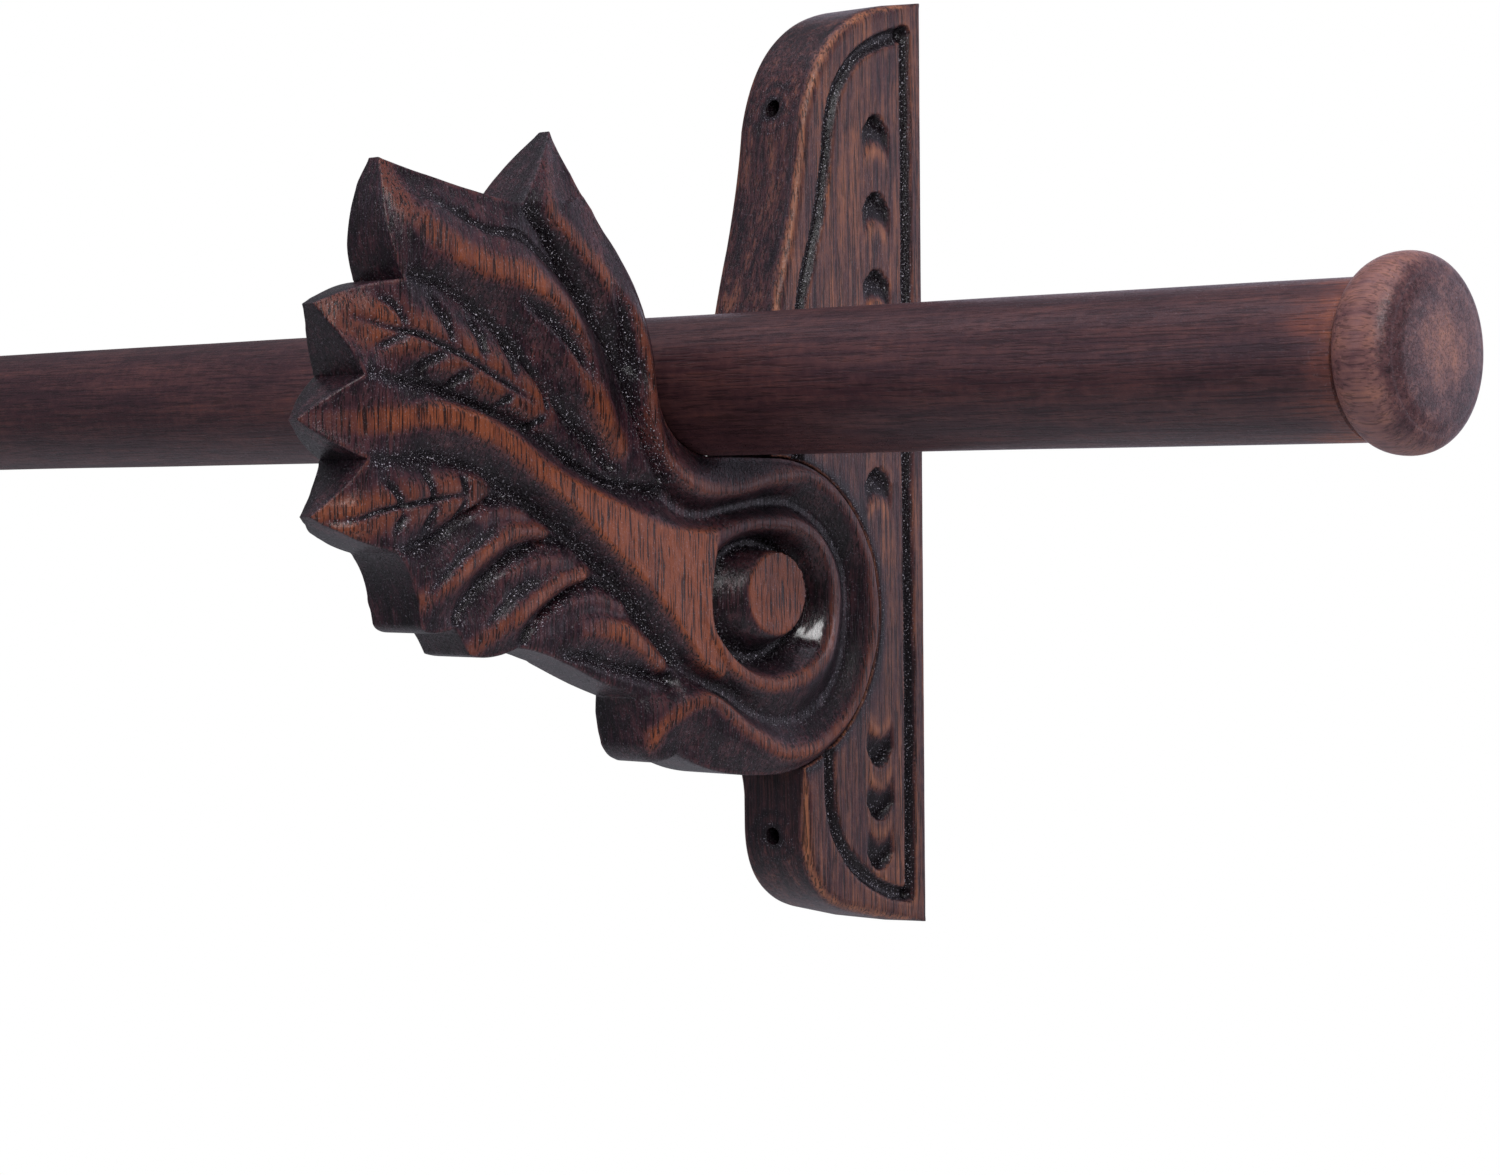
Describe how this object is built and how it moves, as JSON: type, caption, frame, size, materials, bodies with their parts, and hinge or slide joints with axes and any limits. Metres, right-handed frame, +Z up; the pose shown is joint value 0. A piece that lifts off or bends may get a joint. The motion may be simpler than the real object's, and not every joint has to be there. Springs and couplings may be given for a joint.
{
  "type": "curtain rod with brackets",
  "caption": "Dark wooden curtain rod lying in open-topped cradles of leaf-carved wall brackets, with turned end caps that pull off.",
  "frame": {"origin": "on the wall, midway between the brackets, at half the height of the wall plates", "axes": "+X along the rod to its right end, +Y into the wall, +Z up"},
  "size_m": [1.2518, 0.2032, 0.242],
  "materials": {
    "rod_wood": "dark satin varnish",
    "cap_wood": "satin varnish, turned",
    "plate_wood": "antique varnish, carved border",
    "carved_wood": "antique varnish, hand carved, dark in the recesses",
    "dowel_wood": "bare beech",
    "screw_steel": "zinc plated"
  },
  "bodies": {
    "brackets": {"left_wall_plate": "plate_wood", "left_carved_arm": "carved_wood", "left_arm_screw": "screw_steel", "left_upper_arm_dowel": "dowel_wood", "left_lower_arm_dowel": "dowel_wood", "right_wall_plate": "plate_wood", "right_carved_arm": "carved_wood", "right_arm_screw": "screw_steel", "right_upper_arm_dowel": "dowel_wood", "right_lower_arm_dowel": "dowel_wood"},
    "rod": {"rod": "rod_wood"},
    "left_cap": {"left_cap": "cap_wood", "left_cap_dowel": "dowel_wood"},
    "right_cap": {"right_cap": "cap_wood", "right_cap_dowel": "dowel_wood"}
  },
  "joints": [
    {"name": "rod_lift", "type": "slide", "parent": "brackets", "child": "rod", "axis": [0, 0, 1], "range_m": [0, 0.1]},
    {"name": "left_cap_pull", "type": "slide", "parent": "rod", "child": "left_cap", "axis": [-1, 0, 0], "range_m": [0, 0.03]},
    {"name": "right_cap_pull", "type": "slide", "parent": "rod", "child": "right_cap", "axis": [1, 0, 0], "range_m": [0, 0.03]}
  ]
}
